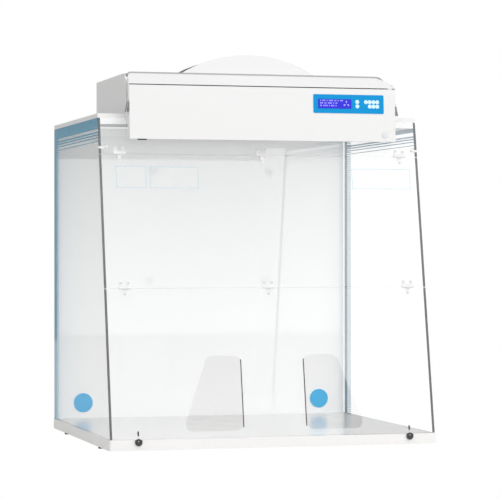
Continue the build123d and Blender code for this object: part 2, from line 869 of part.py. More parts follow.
with BuildPart() as cover_pull:
    with BuildSketch(Plane.XY.offset(cover_foot_z)):
        with Locations((pull_x, cover_foot_y + pull_depth / 2 + sheet)):
            RectangleRounded(pull_width, pull_depth, 2)
    extrude(amount=-pull_drop)
save(cover_pull, "cover_pull")


def vault_plane(y):
    """The upright plane across Y, with local coordinates (x, z)."""
    return Plane(origin=(0, y, 0), x_dir=(1, 0, 0), z_dir=(0, -1, 0))


# Arched exhaust: an end plate in front and behind, standing on the housing
for name, plate_y in (("exhaust_front_plate", vault_front_y), ("exhaust_back_plate", vault_back_y - vault_plate)):
    with BuildPart() as exhaust_plate:
        with BuildSketch(vault_plane(plate_y)):
            with Locations((0, vault_centre_z)):
                Circle(vault_radius)
            with Locations((0, housing_top_z + vault_radius)):
                Rectangle(2 * vault_radius, 2 * vault_radius, mode=Mode.INTERSECT)
        extrude(amount=-vault_plate)
    save(exhaust_plate, name)

# Curved grille between the end plates, with rows of slots cut square to its curve
grille_outer = vault_radius - grille_inset
slot_length = (vault_length - 2 * vault_plate - (slot_rows + 1) * slot_bridge) / slot_rows
slot_steps = int(slot_reach_angle / slot_pitch_angle)
slot_angles = [i * slot_pitch_angle for i in range(-slot_steps, slot_steps + 1)]
slot_ys = [vault_front_y + vault_plate + slot_bridge + slot_length / 2 + j * (slot_length + slot_bridge)
           for j in range(slot_rows)]
with BuildPart() as exhaust_grille:
    with BuildSketch(vault_plane(vault_front_y + vault_plate)):
        with Locations((0, vault_centre_z)):
            Circle(grille_outer)
            Circle(grille_outer - grille_sheet, mode=Mode.SUBTRACT)
        with Locations((0, housing_top_z + vault_radius)):
            Rectangle(2 * vault_radius, 2 * vault_radius, mode=Mode.INTERSECT)
    extrude(amount=-(vault_length - 2 * vault_plate))
    slot_places = [
        Location((grille_outer * sin(radians(a)), y, vault_centre_z + grille_outer * cos(radians(a))), (0, a, 0))
        for a in slot_angles
        for y in slot_ys
    ]
    with Locations(*slot_places):
        Box(slot_width, slot_length, 4 * grille_sheet, mode=Mode.SUBTRACT)
save(exhaust_grille, "exhaust_grille")


def pleats_between(front, back, low, high):
    """The section of cloth folded up and down, the folds running across the hood."""
    step = (back - front) / (2 * pleats)
    under = [(front + i * step, low if i % 2 == 0 else high - pleat_cloth) for i in range(2 * pleats + 1)]
    return under + [(y, z + pleat_cloth) for y, z in reversed(under)]


# Prefilter: a pleated pad in a frame that hangs through the roof's opening
pre_half = intake_half - gap
pre_front_y = intake_front_y + gap
pre_back_y = intake_back_y - gap
pre_foot_z = roof_top_z + gap - prefilter_height
with BuildPart() as prefilter:
    with BuildSketch(Plane.XY.offset(pre_foot_z)):
        with Locations((0, (pre_front_y + pre_back_y) / 2)):
            Rectangle(2 * pre_half, pre_back_y - pre_front_y)
            Rectangle(
                2 * (pre_half - filter_wall), pre_back_y - pre_front_y - 2 * filter_wall, mode=Mode.SUBTRACT
            )
    extrude(amount=prefilter_height)
    with BuildSketch(Plane.XY.offset(roof_top_z + gap)):
        with Locations((0, (pre_front_y + pre_back_y) / 2)):
            Rectangle(2 * (pre_half + filter_lip), pre_back_y - pre_front_y + 2 * filter_lip)
            Rectangle(
                2 * (pre_half - filter_wall), pre_back_y - pre_front_y - 2 * filter_wall, mode=Mode.SUBTRACT
            )
    extrude(amount=sheet)
    with BuildSketch(Plane.YZ):
        outline(
            *pleats_between(pre_front_y + filter_wall, pre_back_y - filter_wall, pre_foot_z + sheet, roof_top_z)
        )
    extrude(amount=pre_half - filter_wall, both=True)
save(prefilter, "prefilter")

# Main filter: a deep frame on the prefilter's lip, with pleated paper bonded inside
filter_foot_z = roof_top_z + gap + sheet
filter_top_z = filter_foot_z + filter_height
filter_half = pre_half + filter_lip
filter_front_y = pre_front_y - filter_lip
filter_back_y = pre_back_y + filter_lip
with BuildPart() as filter_frame:
    with BuildSketch(Plane.XY.offset(filter_foot_z)):
        with Locations((0, (filter_front_y + filter_back_y) / 2)):
            Rectangle(2 * filter_half, filter_back_y - filter_front_y)
            Rectangle(
                2 * (filter_half - filter_wall),
                filter_back_y - filter_front_y - 2 * filter_wall,
                mode=Mode.SUBTRACT,
            )
    extrude(amount=filter_height)
save(filter_frame, "filter_frame")

with BuildPart() as filter_paper:
    with BuildSketch(Plane.YZ):
        outline(
            *pleats_between(
                filter_front_y + filter_wall,
                filter_back_y - filter_wall,
                filter_foot_z + filter_wall,
                filter_top_z - filter_wall,
            )
        )
    extrude(amount=filter_half - filter_wall, both=True)
save(filter_paper, "filter_paper")

# Fan plate: it lies on the main filter and folds up to close the fan's chamber in front
plate_z = filter_top_z + gap
with BuildPart() as fan_plate:
    with BuildSketch(Plane.YZ):
        outline(
            (housing_back_y - sheet - gap, plate_z),
            (ridge_y, plate_z),
            (ridge_y, housing_top_z - sheet - gap),
            (ridge_y + sheet, housing_top_z - sheet - gap),
            (ridge_y + sheet, plate_z + sheet),
            (housing_back_y - sheet - gap, plate_z + sheet),
        )
    extrude(amount=housing_half - sheet - gap, both=True)
    with BuildSketch(Plane.XY.offset(plate_z)):
        with Locations((0, fan_y)):
            Circle(fan_inlet)
    extrude(amount=2 * sheet, mode=Mode.SUBTRACT)
save(fan_plate, "fan_plate")


def blade_point(radius, angle, side):
    """A corner of a blade, half its thickness to one side of its curve."""
    turn = radians(angle) + side * fan_sheet / (2 * radius)
    return (radius * cos(turn), fan_y + radius * sin(turn))


# Fan impeller: back-swept blades between a disc and a ring, on a hub with its shaft
fan_foot_z = plate_z + sheet + fan_lift
fan_top_z = fan_foot_z + fan_height
blade_middle = (blade_inner + blade_outer) / 2
with BuildPart() as fan_impeller:
    with BuildSketch(Plane.XY.offset(fan_foot_z)):
        with Locations((0, fan_y)):
            Circle(fan_radius)
            Circle(fan_inlet, mode=Mode.SUBTRACT)
    extrude(amount=fan_sheet)
    with BuildSketch(Plane.XY.offset(fan_top_z)):
        with Locations((0, fan_y)):
            Circle(fan_radius)
    extrude(amount=-fan_sheet)
    with BuildSketch(Plane.XY.offset(fan_top_z)):
        with Locations((0, fan_y)):
            Circle(hub_radius)
    extrude(amount=-fan_height / 2)
    with BuildSketch(Plane.XY.offset(fan_top_z)):
        with Locations((0, fan_y)):
            Circle(shaft_radius)
    extrude(amount=gap + motor_height / 2)
    for i in range(fan_blades):
        start = i * 360 / fan_blades
        with BuildSketch(Plane.XY.offset(fan_foot_z + fan_sheet)):
            with BuildLine():
                leading = ThreePointArc(
                    blade_point(blade_inner, start, -1),
                    blade_point(blade_middle, start + blade_sweep * 0.4, -1),
                    blade_point(blade_outer, start + blade_sweep, -1),
                )
                trailing = ThreePointArc(
                    blade_point(blade_inner, start, 1),
                    blade_point(blade_middle, start + blade_sweep * 0.4, 1),
                    blade_point(blade_outer, start + blade_sweep, 1),
                )
                Line(leading @ 0, trailing @ 0)
                Line(leading @ 1, trailing @ 1)
            make_face()
        extrude(amount=fan_height - 2 * fan_sheet)
save(fan_impeller, "fan_impeller")

# Fan motor over the impeller, hung from a bracket across the outlet
motor_foot_z = fan_top_z + gap
motor_top_z = motor_foot_z + motor_height
with BuildPart() as fan_motor:
    with BuildSketch(Plane.XY.offset(motor_foot_z)):
        with Locations((0, fan_y)):
            Circle(motor_radius)
    extrude(amount=motor_height)
    with BuildSketch(Plane.XY.offset(motor_foot_z)):
        with Locations((0, fan_y)):
            Circle(shaft_radius + running)
    extrude(amount=motor_height / 2 + 2 * gap, mode=Mode.SUBTRACT)
save(fan_motor, "fan_motor")

bracket_top_z = housing_top_z - sheet
with BuildPart() as motor_bracket:
    with BuildSketch(Plane.XY.offset(motor_top_z)):
        with Locations((0, fan_y)):
            Rectangle(bracket_width, outlet_back_y - outlet_front_y + 2 * bracket_overlap)
    extrude(amount=bracket_top_z - motor_top_z)
save(motor_bracket, "motor_bracket")

# Lamp under the roof, behind the intake
lamp_front_y = housing_back_y + lamp_behind_intake
with BuildPart() as roof_lamp:
    with BuildSketch(Plane.XY.offset(roof_top_z - sheet)):
        with Locations((0, lamp_front_y + lamp_width / 2)):
            Rectangle(2 * lamp_half, lamp_width)
    extrude(amount=-lamp_height)
    fillet(roof_lamp.faces().sort_by(Axis.Z)[0].edges(), radius=3)
save(roof_lamp, "roof_lamp")

# Power inlet on the housing's back: a shell with three blades in its recess
with BuildPart() as power_inlet:
    inlet_plane = Plane((inlet_x, housing_back_y, inlet_z), x_dir=(-1, 0, 0), z_dir=(0, 1, 0))
    with BuildSketch(inlet_plane):
        RectangleRounded(inlet_width, inlet_height, 4)
    extrude(amount=inlet_proud)
    with BuildSketch(inlet_plane.offset(inlet_proud)):
        RectangleRounded(inlet_width - 8, inlet_height - 8, 3)
    extrude(amount=-(inlet_proud - 3), mode=Mode.SUBTRACT)
    with BuildSketch(inlet_plane.offset(3)):
        with Locations((-7, -2), (7, -2), (0, 4)):
            Rectangle(2, 5)
    extrude(amount=inlet_proud - 5)
save(power_inlet, "power_inlet")
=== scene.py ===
# %% [markdown]
# # A clear bench fume hood
# The CAD frame brings every solid already in place. This scene dresses it: it gives each
# node a procedural material, adds the small printed and moulded details that are too thin
# for the CAD part, and lights the hood like a product photo on a plain white ground.

from math import atan2, cos, pi, radians, sin

import bmesh
import bpy
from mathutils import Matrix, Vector


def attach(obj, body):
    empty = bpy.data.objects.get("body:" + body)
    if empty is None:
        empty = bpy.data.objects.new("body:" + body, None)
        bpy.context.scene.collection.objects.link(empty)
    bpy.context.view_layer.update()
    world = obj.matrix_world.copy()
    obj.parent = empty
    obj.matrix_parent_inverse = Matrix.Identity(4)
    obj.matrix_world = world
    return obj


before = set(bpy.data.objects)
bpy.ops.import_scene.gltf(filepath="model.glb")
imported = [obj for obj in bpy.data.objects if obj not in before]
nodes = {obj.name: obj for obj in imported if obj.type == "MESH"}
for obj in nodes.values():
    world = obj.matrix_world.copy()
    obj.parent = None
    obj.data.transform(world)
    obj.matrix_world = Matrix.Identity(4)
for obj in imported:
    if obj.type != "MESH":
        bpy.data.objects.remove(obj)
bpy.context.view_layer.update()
print("nodes loaded:", len(nodes))

# %% [markdown]
# ## Where things are
# All positions come from a few sizes of the hood. The front slants back by `SLOPE`, and the
# control cover leans by `LEAN`. Both have their own helper that turns "up the sheet and out
# of it" into a place in the scene, so that a detail can be laid on a slanted sheet by two
# simple numbers.

# %% Sizes in metres
FRONT_Y = -0.52535
BACK_Y = 0.53065
FLOOR_Z = 0.045
PANEL_TOP = 1.174
PANEL_BACK = BACK_Y - 0.003
SIDE_X = 0.597
SLOPE = atan2(0.209, 1.129)
LEAN = radians(3.3)
COVER_FOOT = Vector((0, FRONT_Y + 0.144, 1.098))
KEYPAD_H = 0.136
DISPLAY_X = 0.265


def on_cover(x, h, out):
    """A place on the cover's face: x across, h up the face, out of it."""
    return COVER_FOOT + Vector((x, h * sin(LEAN) - out * cos(LEAN), h * cos(LEAN) + out * sin(LEAN)))


print("slope of the front: %.2f degrees" % (SLOPE * 180 / pi))

# %% [markdown]
# ## Material helpers
# A material here is a short chain of nodes. `Graph` wraps a node tree so that the arithmetic
# of a printed pattern reads like ordinary formulas: each call adds one Math node and returns
# its output.

# %% Node helpers
class Graph:
    """A small wrapper round a material's node tree."""

    def __init__(self, name):
        self.material = bpy.data.materials.new(name)
        self.material.use_nodes = True
        self.tree = self.material.node_tree
        self.tree.nodes.clear()
        self.output = self.add("ShaderNodeOutputMaterial")

    def add(self, kind):
        return self.tree.nodes.new(kind)

    def wire(self, value, socket):
        if isinstance(value, bpy.types.NodeSocket):
            self.tree.links.new(value, socket)
        else:
            socket.default_value = value

    def math(self, operation, a, b=0.0):
        node = self.add("ShaderNodeMath")
        node.operation = operation
        self.wire(a, node.inputs[0])
        self.wire(b, node.inputs[1])
        return node.outputs[0]

    def between(self, value, low, high):
        """1 where the value lies between two limits, else 0."""
        above = self.math("GREATER_THAN", value, low)
        below = self.math("LESS_THAN", value, high)
        return self.math("MULTIPLY", above, below)

    def either(self, *masks):
        total = masks[0]
        for mask in masks[1:]:
            total = self.math("MAXIMUM", total, mask)
        return total

    def both(self, a, b):
        return self.math("MULTIPLY", a, b)

    def place(self):
        """The x, y and z of the point being shaded, in the object's own space."""
        coordinates = self.add("ShaderNodeTexCoord")
        split = self.add("ShaderNodeSeparateXYZ")
        self.wire(coordinates.outputs["Object"], split.inputs[0])
        return split.outputs[0], split.outputs[1], split.outputs[2]

    def noise(self, scale, detail=2.0):
        coordinates = self.add("ShaderNodeTexCoord")
        noise = self.add("ShaderNodeTexNoise")
        noise.inputs["Scale"].default_value = scale
        noise.inputs["Detail"].default_value = detail
        self.wire(coordinates.outputs["Object"], noise.inputs["Vector"])
        return noise.outputs["Fac"]

    def spread(self, value, low, high):
        """Turns a value of 0 to 1 into one from low to high."""
        node = self.add("ShaderNodeMapRange")
        self.wire(value, node.inputs["Value"])
        node.inputs["To Min"].default_value = low
        node.inputs["To Max"].default_value = high
        return node.outputs["Result"]

    def mix(self, mask, a, b):
        """Colour a where the mask is 0 and colour b where it is 1."""
        node = self.add("ShaderNodeMix")
        node.data_type = "RGBA"
        self.wire(mask, node.inputs["Factor"])
        for value, socket in ((a, node.inputs[6]), (b, node.inputs[7])):
            self.wire(value if isinstance(value, bpy.types.NodeSocket) else (*value, 1.0), socket)
        return node.outputs[2]

    def bump(self, height, strength, distance=0.001):
        node = self.add("ShaderNodeBump")
        node.inputs["Strength"].default_value = strength
        node.inputs["Distance"].default_value = distance
        self.wire(height, node.inputs["Height"])
        return node.outputs["Normal"]

    def finish(self, **values):
        """Ends the chain in one Principled shader."""
        shader = self.add("ShaderNodeBsdfPrincipled")
        names = {"color": "Base Color", "roughness": "Roughness", "metallic": "Metallic", "normal": "Normal",
                 "alpha": "Alpha", "ior": "IOR", "glow": "Emission Color",
                 "glow_strength": "Emission Strength", "specular": "Specular IOR Level"}
        for key, value in values.items():
            if isinstance(value, tuple):
                value = (*value, 1.0)
            self.wire(value, shader.inputs[names[key]])
        self.wire(shader.outputs[0], self.output.inputs["Surface"])
        return self.material


def srgb(r, g, b):
    """Screen colours of 0 to 255 as the linear values that shaders use."""
    return tuple(((c / 255 + 0.055) / 1.055) ** 2.4 if c > 10 else c / 255 / 12.92 for c in (r, g, b))


# %% [markdown]
# ## Plain finishes
# Powder coat is never quite smooth: a fine noise gives it its faint orange peel. Moulded
# plastic and rubber get a coarser, softer one, and metals get a variation in roughness only.

# %% Coats, plastics, rubbers and metals
def coated(name, color, roughness, peel=0.06, scale=900.0):
    g = Graph(name)
    return g.finish(color=color, roughness=g.spread(g.noise(14.0), roughness - 0.04, roughness + 0.04),
                    normal=g.bump(g.noise(scale), peel, 0.0004))


def metal(name, color, roughness):
    g = Graph(name)
    brushed = g.spread(g.noise(60.0), roughness - 0.06, roughness + 0.06)
    return g.finish(color=color, metallic=1.0, roughness=brushed)


white_powder = coated("white powder coat", (0.86, 0.86, 0.86), 0.42)
dark_powder = coated("dark powder coat", (0.05, 0.05, 0.055), 0.5)
white_plastic = coated("white plastic", (0.88, 0.88, 0.88), 0.3, 0.03, 400.0)
grey_plastic = coated("grey plastic", (0.045, 0.045, 0.05), 0.5, 0.1, 500.0)
black_plastic = coated("black plastic", (0.012, 0.012, 0.012), 0.45, 0.1, 500.0)
blue_plastic = coated("blue plastic", srgb(84, 196, 250), 0.35, 0.03, 400.0)
black_rubber = coated("black rubber", (0.008, 0.008, 0.008), 0.7, 0.15, 500.0)
trim_plastic = coated("trim plastic", (0.42, 0.42, 0.43), 0.5, 0.1, 500.0)
grey_rubber = coated("grey rubber", (0.07, 0.07, 0.075), 0.7, 0.15, 500.0)
key_plastic = coated("key plastic", srgb(214, 246, 255), 0.35, 0.02, 400.0)
cloth = coated("filter cloth", (0.42, 0.42, 0.425), 0.95, 0.6, 700.0)
paper = coated("filter paper", (0.8, 0.8, 0.76), 0.95, 0.5, 500.0)
bright_steel = metal("bright steel", (0.72, 0.72, 0.73), 0.25)
dull_steel = metal("dull steel", (0.33, 0.33, 0.34), 0.35)
zinc_steel = metal("zinc steel", (0.6, 0.61, 0.62), 0.4)
chrome_plate = metal("chrome plate", (0.7, 0.7, 0.71), 0.12)
aluminium = metal("aluminium", (0.75, 0.76, 0.77), 0.35)
lamp = Graph("lamp diffuser")
lamp_plastic = lamp.finish(color=(0.9, 0.9, 0.9), roughness=lamp.spread(lamp.noise(30.0), 0.3, 0.4),
                           glow=(1.0, 1.0, 1.0), glow_strength=0.15)
keypad = Graph("keypad film")
keypad_film = keypad.finish(color=srgb(4, 150, 216), specular=0.15,
                            roughness=keypad.spread(keypad.noise(40.0), 0.35, 0.45))
display = Graph("display glass")
display_glass = display.finish(color=srgb(20, 6, 190), roughness=0.12,
                               glow=srgb(22, 4, 200), glow_strength=0.35)
print("plain finishes:", len(bpy.data.materials))

# The work surface is set darker and less shiny than the folded edges. Both values are chosen
# to come nearer to the level that the surface has in the photo.
tray = Graph("tray powder coat")
x, y, z = tray.place()
# Painted shade: the work surface under the roof is coloured darker than the folded edges, standing for the
# shade the roof casts on it.
painted_shade_area = tray.math("GREATER_THAN", z, FLOOR_Z - 0.0004)
tray_powder = tray.finish(
    color=tray.mix(painted_shade_area, (0.95, 0.945, 0.94), (0.74, 0.73, 0.72)),
    roughness=tray.spread(tray.noise(14.0), 0.16, 0.24),
    specular=tray.spread(painted_shade_area, 0.5, 0.3), normal=tray.bump(tray.noise(900.0), 0.02, 0.0004))

# %% [markdown]
# ## Clear sheets
# A clear acrylic sheet is mostly seen by what it hides: a trace of haze and a faint sheen.
# So each sheet is a nearly transparent shader. The printed bands of the side panels are the
# same shader turned opaque and blue where the pattern lies. The pattern is worked out from
# the place on the sheet: a solid band down the back edge with fine ticks beside it, and a
# solid band along the top with lines below it that grow thinner. The print lies on the outer
# face only. The front sheets also glow a little: this glow is painted light, which stands for
# the light caught by the haze seen in the photo.

# %% Clear acrylic and its prints
TICK_PITCH = 0.0073
FACE_DEPTH = 0.0005
HAZE = 0.055
FRONT_HAZE = 0.12
# Glow strength of the front sheets and their labels: painted light, as these sheets are no lamp.
FRONT_PAINTED_GLOW = 0.30
CLEAR = (0.92, 0.94, 0.95)


def panel_print(g, band, tick_reach, top_band, lines):
    """The mask of a side panel's print."""
    x, y, z = g.place()
    from_back = g.math("SUBTRACT", PANEL_BACK, y)
    from_top = g.math("SUBTRACT", PANEL_TOP, z)
    solid = g.math("LESS_THAN", from_back, band)
    tick = g.math("LESS_THAN", g.math("FRACT", g.math("DIVIDE", z, TICK_PITCH)), 0.5)
    ticks = g.both(tick, g.math("LESS_THAN", from_back, tick_reach))
    masks = [solid, ticks, g.math("LESS_THAN", from_top, top_band)]
    for centre, thickness in lines:
        masks.append(g.between(from_top, centre - thickness / 2, centre + thickness / 2))
    outside = g.math("GREATER_THAN", g.math("ABSOLUTE", x), SIDE_X - FACE_DEPTH)
    return g.both(g.either(*masks), outside)


def clear_sheet(name, haze, glow):
    g = Graph(name)
    return g.finish(color=CLEAR, roughness=g.spread(g.noise(3.0), 0.03, 0.05), alpha=haze,
                    glow=CLEAR, glow_strength=glow)


def printed_sheet(name, ink, opacity, band, tick_reach, top_band, lines):
    g = Graph(name)
    mask = panel_print(g, band, tick_reach, top_band, lines)
    return g.finish(color=g.mix(mask, CLEAR, ink), roughness=0.06, alpha=g.spread(mask, HAZE, opacity))


LINES = [(0.052, 0.006), (0.061, 0.005), (0.071, 0.004), (0.084, 0.003)]
clear_acrylic = clear_sheet("clear acrylic", FRONT_HAZE, FRONT_PAINTED_GLOW)
left_print = printed_sheet("left printed acrylic", srgb(84, 166, 200), 0.97, 0.050, 0.093, 0.040, LINES)
right_print = printed_sheet("right printed acrylic", srgb(80, 140, 168), 0.97, 0.032, 0.080, 0.036, LINES)


# %% Lower panel with its dark port edges
PORT_EDGE = (0.1144, 0.1172)
PORT_LINE = (FLOOR_Z + 0.036 * cos(SLOPE), FLOOR_Z + 0.277 * cos(SLOPE))
ported = Graph("ported acrylic")
x, y, z = ported.place()
beside_port = ported.between(ported.math("ABSOLUTE", x), *PORT_EDGE)
edge_mask = ported.both(beside_port, ported.between(z, *PORT_LINE))
ported_acrylic = ported.finish(
    color=ported.mix(edge_mask, CLEAR, (0.01, 0.01, 0.01)),
    roughness=ported.spread(ported.noise(3.0), 0.03, 0.05),
    alpha=ported.spread(edge_mask, FRONT_HAZE, 0.8), glow=CLEAR,
    glow_strength=ported.spread(edge_mask, FRONT_PAINTED_GLOW, 0.0))


# %% Middle panel with its label outlines
def box_outline(g, x, z, left, right, low, high, line):
    """The mask of a thin rectangle drawn on the sheet."""
    outer = g.both(g.between(x, left, right), g.between(z, low, high))
    inner = g.both(g.between(x, left + line, right - line), g.between(z, low + line, high - line))
    return g.math("SUBTRACT", outer, inner)


labelled = Graph("labelled acrylic")
x, y, z = labelled.place()
LABELS = [(-0.540, -0.430, 0.925, 1.003), (-0.417, -0.239, 0.924, 1.001), (0.338, 0.563, 0.926, 1.000)]
LABEL_LINE = 0.0022
outlines = [box_outline(labelled, x, z, *label, LABEL_LINE) for label in LABELS]
fill = [labelled.both(labelled.between(x, a, b), labelled.between(z, c, d)) for a, b, c, d in LABELS]
line_mask = labelled.either(*outlines)
fill_mask = labelled.either(*fill)
strength = labelled.math(
    "MAXIMUM", labelled.math("MULTIPLY", line_mask, 0.30), labelled.math("MULTIPLY", fill_mask, 0.13))
label_color = labelled.mix(line_mask, CLEAR, srgb(150, 205, 215))
labelled_acrylic = labelled.finish(
    color=label_color, roughness=0.04, alpha=labelled.math("MAXIMUM", strength, FRONT_HAZE),
    glow=label_color, glow_strength=FRONT_PAINTED_GLOW)

# %% Glossy back sheet
# The weak glow, stronger low down, is set to bring the sheet near its level in the photo.
back = Graph("milky acrylic")
x, y, z = back.place()
# Painted light: the back sheet glows, more strongly low down, though it is no lamp.
painted_back_glow = back.math("SUBTRACT", 0.14, back.math("MULTIPLY", z, 0.12))
milky_acrylic = back.finish(
    color=(0.95, 0.955, 0.955), roughness=back.spread(back.noise(4.0), 0.02, 0.04), ior=2.6,
    glow=(1.0, 1.0, 1.0), glow_strength=painted_back_glow)
print("materials in all:", len(bpy.data.materials))

# %% [markdown]
# ## Dressing the nodes
# Every CAD node gets its finish here. Only material slots change: the meshes stay as the
# CAD part made them.

# %% Assign the finishes
FINISHES = {
    white_powder: ["roof_tray", "filter_housing", "front_frame", "top_cap", "control_cover",
                   "exhaust_front_plate", "exhaust_back_plate"],
    tray_powder: ["base_tray"],
    dark_powder: ["exhaust_grille"],
    clear_acrylic: ["upper_visor"],
    ported_acrylic: ["lower_panel"],
    labelled_acrylic: ["middle_panel"],
    left_print: ["left_side_panel"],
    right_print: ["right_side_panel"],
    milky_acrylic: ["back_panel"],
    black_rubber: ["base_feet", "visor_seals", "middle_panel_seals", "lower_panel_seals", "cover_pull"],
    grey_rubber: ["cover_bumpers"],
    trim_plastic: ["ridge_trim"],
    blue_plastic: ["left_port_plug", "right_port_plug"],
    white_plastic: ["upper_hinge_leaves", "lower_hinge_leaves", "upper_hinge_flaps", "lower_hinge_flaps",
                    "corner_clips"],
    bright_steel: ["upper_hinge_pins", "lower_hinge_pins", "turning_screws"],
    dull_steel: ["pivot_ears"],
    grey_plastic: ["left_catch", "right_catch", "panel_keepers", "control_box"],
    keypad_film: ["keypad_plate"],
    display_glass: ["display_window"],
    chrome_plate: ["cam_lock"],
    zinc_steel: ["lock_strike", "fan_plate", "motor_bracket"],
    aluminium: ["filter_frame", "fan_motor"],
    cloth: ["prefilter"],
    paper: ["filter_paper"],
    lamp_plastic: ["roof_lamp"],
    black_plastic: ["fan_impeller", "power_inlet"],
    key_plastic: [name for name in nodes if name.startswith("key_")],
}
for material, names in FINISHES.items():
    for name in names:
        nodes[name].data.materials.clear()
        nodes[name].data.materials.append(material)
bare = [name for name in nodes if not any(name in names for names in FINISHES.values())]
print("nodes without a finish:", bare)

# %% [markdown]
# ## Printed details on the control cover
# The display's pale marks are thin plates laid a hair above its face, and a thin ring lies
# round each key. They carry no words: rows of short bars stand for text.

# %% Helpers for new pieces
def add_plate(bm, point, left, right, low, high, out, thickness):
    """A thin plate laid on a sheet, given a function that places its corners."""
    corners = [(left, low), (right, low), (right, high), (left, high)]
    back = [bm.verts.new(point(x, h, out)) for x, h in corners]
    front = [bm.verts.new(point(x, h, out + thickness)) for x, h in corners]
    bm.faces.new(front)
    bm.faces.new(back[::-1])
    for i in range(4):
        j = (i + 1) % 4
        bm.faces.new((back[i], back[j], front[j], front[i]))


def new_piece(name, bm, material, body):
    bmesh.ops.recalc_face_normals(bm, faces=bm.faces[:])
    mesh = bpy.data.meshes.new(name)
    bm.to_mesh(mesh)
    bm.free()
    piece = bpy.data.objects.new(name, mesh)
    bpy.context.collection.objects.link(piece)
    mesh.materials.append(material)
    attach(piece, body)
    return piece


def glowing(name, color, strength):
    g = Graph(name)
    return g.finish(color=color, roughness=g.spread(g.noise(50.0), 0.3, 0.4),
                    glow=color, glow_strength=strength)


# The key rings' pale print is real, but its glow is painted light: the rings are no lamp.
pale_print_painted_glow = glowing("pale print", srgb(225, 240, 255), 0.6)
dim_print = glowing("dim print", srgb(150, 150, 240), 0.4)
DISPLAY_OUT = 0.0025

# %% Bars and a fan symbol on the display
BAR_PITCH, BAR_WIDTH, BAR_HALF_HEIGHT = 0.0042, 0.0028, 0.0026
bm = bmesh.new()
rows = [(0.1478, "x xxx x xxxx xx x xxx"), (0.1385, "xxx xx xxxx x xx"), (0.1292, "xx xxxx x xxx x")]
for h, pattern in rows:
    for i, mark in enumerate(pattern):
        if mark == "x":
            left = DISPLAY_X - 0.056 + i * BAR_PITCH
            low, high = h - BAR_HALF_HEIGHT, h + BAR_HALF_HEIGHT
            add_plate(bm, on_cover, left, left + BAR_WIDTH, low, high, DISPLAY_OUT, 0.0002)
fan_x = DISPLAY_X + 0.044
for i in range(3):
    turn = radians(90 + 120 * i)
    a, b = turn - 0.35, turn + 0.35
    ring = [(0.002, turn), (0.0105, a), (0.012, turn), (0.0105, b)]
    places = [on_cover(fan_x + r * cos(t), KEYPAD_H + r * sin(t), DISPLAY_OUT + 0.0001) for r, t in ring]
    bm.faces.new([bm.verts.new(place) for place in places])
display_marks = new_piece("display_marks", bm, dim_print, "cover")
print("display marks:", len(display_marks.data.polygons), "faces")

# %% Rings round the keys
KEY_PITCH, UPPER_ROW, LOWER_ROW = 0.0145, 0.144, 0.128
RING_SEGMENTS = 32
bm = bmesh.new()
key_places = [(0.351, UPPER_ROW), (0.351, LOWER_ROW)]
key_places += [(0.384 + i * KEY_PITCH, UPPER_ROW) for i in range(4)]
key_places += [(0.384 + i * KEY_PITCH, LOWER_ROW) for i in range(1, 4)]
turns = [t * pi / (RING_SEGMENTS / 2) for t in range(RING_SEGMENTS)]
for x, h in key_places:
    loops = []
    for radius, out in ((0.00655, 0.0015), (0.00655, 0.0017), (0.0071, 0.0017), (0.0071, 0.0015)):
        places = [on_cover(x + radius * cos(t), h + radius * sin(t), out) for t in turns]
        loops.append([bm.verts.new(place) for place in places])
    for a, b in zip(loops, loops[1:] + loops[:1]):
        for t in range(RING_SEGMENTS):
            u = (t + 1) % RING_SEGMENTS
            bm.faces.new((a[t], a[u], b[u], b[t]))
key_rings = new_piece("key_rings", bm, pale_print_painted_glow, "cover")
print("key rings:", len(key_rings.data.polygons), "faces")

# %% [markdown]
# ## Small fasteners
# Each hinge ear is held by one domed screw, and each corner clip by a white ball-headed one.
# A screw is turned from half its profile, so one function makes both kinds.

# %% Screws of the hinges and clips
FOOT = Vector((0, FRONT_Y + 0.012, FLOOR_Z))
DOOR_FRONT = 0.0093
LEAF = 0.0024
CLIP = 0.002
HINGE_XS = (-0.525, 0, 0.525)
EAR_X, EAR_RISE, FLAP_DROP = 0.014, 0.019, 0.021
CLIP_X, CLIP_UP = 0.5725, 1.038


def on_front(x, up, out):
    """A place on the slanted front: x across, up the slope, out of it."""
    return FOOT + Vector((x, up * sin(SLOPE) - out * cos(SLOPE), up * cos(SLOPE) + out * sin(SLOPE)))


def add_turned(bm, centre, profile, segments=20):
    """A body of revolution on the slanted front, given (radius, out) from rim to tip."""
    x, up, out = centre
    loops = []
    turns = [2 * pi * t / segments for t in range(segments)]
    for radius, rise in profile:
        places = [on_front(x + radius * cos(t), up + radius * sin(t), out + rise) for t in turns]
        loops.append([bm.verts.new(place) for place in places])
    for a, b in zip(loops, loops[1:]):
        for t in range(segments):
            u = (t + 1) % segments
            bm.faces.new((a[t], a[u], b[u], b[t]))
    bm.faces.new(loops[0][::-1])
    bm.faces.new(loops[-1])


DOME = [(0.0036, 0.0), (0.0036, 0.0006), (0.0032, 0.0012), (0.0022, 0.0017), (0.0008, 0.0019)]
BALL = [(0.0055 * cos(radians(a)), 0.0052 + 0.0055 * sin(radians(a))) for a in range(-70, 90, 20)]
SEAMS = {"upper": (1.016, "cabinet", "middle_front"), "lower": (0.532, "middle_front", "lower_front")}
for label, (seam, upper_body, lower_body) in SEAMS.items():
    bm = bmesh.new()
    for x in HINGE_XS:
        for side in (-1, 1):
            add_turned(bm, (x + side * EAR_X, seam + EAR_RISE, DOOR_FRONT + LEAF), DOME)
    ear_screws = new_piece(f"{label}_seam_leaf_screws", bm, bright_steel, upper_body)
    bm = bmesh.new()
    for x in HINGE_XS:
        add_turned(bm, (x, seam - FLAP_DROP, DOOR_FRONT + LEAF), DOME)
    ear_screws = new_piece(f"{label}_seam_flap_screws", bm, bright_steel, lower_body)
bm = bmesh.new()
for side in (-1, 1):
    add_turned(bm, (side * CLIP_X, CLIP_UP, DOOR_FRONT + CLIP), BALL)
